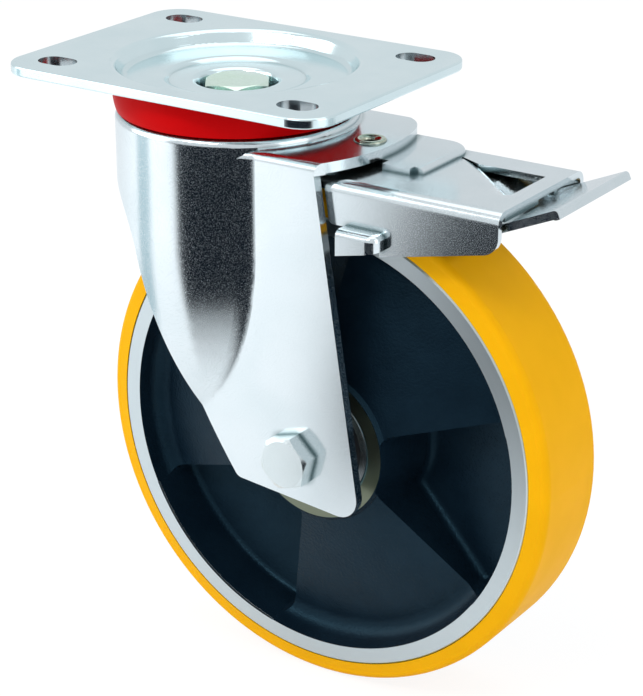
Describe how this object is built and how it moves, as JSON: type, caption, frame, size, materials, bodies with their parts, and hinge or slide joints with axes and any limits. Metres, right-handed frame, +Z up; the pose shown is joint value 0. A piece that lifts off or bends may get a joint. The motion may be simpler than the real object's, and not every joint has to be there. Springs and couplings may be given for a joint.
{
  "type": "swivel castor",
  "caption": "Heavy swivel castor: slotted top plate, red dust seal, pressed steel fork, black cast wheel with amber tread, and a foot pedal that brakes the wheel and locks the swivel.",
  "frame": {"origin": "centre of the mounting plate's top face, on the swivel axis", "axes": "+Z up, out of the plate's top face along the swivel axis; +X to the trailing side, where the wheel and the pedal are; the wheel's axle runs along Y"},
  "size_m": [0.2268, 0.11, 0.24],
  "materials": {
    "zinc_sheet": "bright zinc plate with a bluish white tone and a faint speckle",
    "zinc_fastener": "zinc plate with a slight yellow tint",
    "bearing_steel": "ground bearing steel, lightly greased",
    "spring_steel": "dark drawn spring wire",
    "seal_red": "smooth red elastomer, satin",
    "seal_black": "black rubber, matt",
    "tread_amber": "cast elastomer, warm amber yellow, satin gloss",
    "core_black": "blue-black enamel over cast iron, with machined rim and hub faces"
  },
  "bodies": {
    "plate": {"top_plate": "zinc_sheet", "king_bolt": "zinc_fastener", "king_nut": "zinc_fastener", "lower_race": "bearing_steel", "upper_balls": "bearing_steel", "lower_balls": "bearing_steel"},
    "fork": {"fork": "zinc_sheet", "dust_seal": "seal_red", "axle_sleeve": "bearing_steel", "middle_spacer": "bearing_steel", "axle_bolt": "zinc_fastener", "axle_nut": "zinc_fastener", "brake_housing": "zinc_sheet", "bridge_plate": "zinc_sheet", "shelf_rivet": "zinc_fastener", "pivot_pins": "zinc_fastener", "return_spring": "spring_steel", "hub_spacer_near": "zinc_fastener", "hub_spacer_far": "zinc_fastener", "inner_ring_near": "bearing_steel", "inner_ring_far": "bearing_steel"},
    "wheel": {"wheel_core": "core_black", "tread": "tread_amber", "outer_ring_near": "bearing_steel", "outer_ring_far": "bearing_steel", "bearing_balls_near": "bearing_steel", "bearing_balls_far": "bearing_steel", "bearing_seal_near": "seal_black", "bearing_seal_far": "seal_black"},
    "pedal": {"brake_pedal": "zinc_sheet", "lock_arm": "zinc_sheet", "brake_shoe": "zinc_sheet", "lever_rivets": "zinc_fastener"}
  },
  "joints": [
    {"name": "swivel", "type": "hinge", "parent": "plate", "child": "fork", "pos_m": [0, 0, 0], "axis": [0, 0, 1], "continuous": true},
    {"name": "wheel_spin", "type": "hinge", "parent": "fork", "child": "wheel", "pos_m": [0.05, 0, -0.14], "axis": [0, 1, 0], "continuous": true},
    {"name": "pedal_hinge", "type": "hinge", "parent": "fork", "child": "pedal", "pos_m": [0.086, 0, -0.0395], "axis": [0, 1, 0], "range_deg": [0, 5], "stiffness_Nm_per_rad": 8, "springref_deg": -8.59, "deforming": ["return_spring"]}
  ]
}
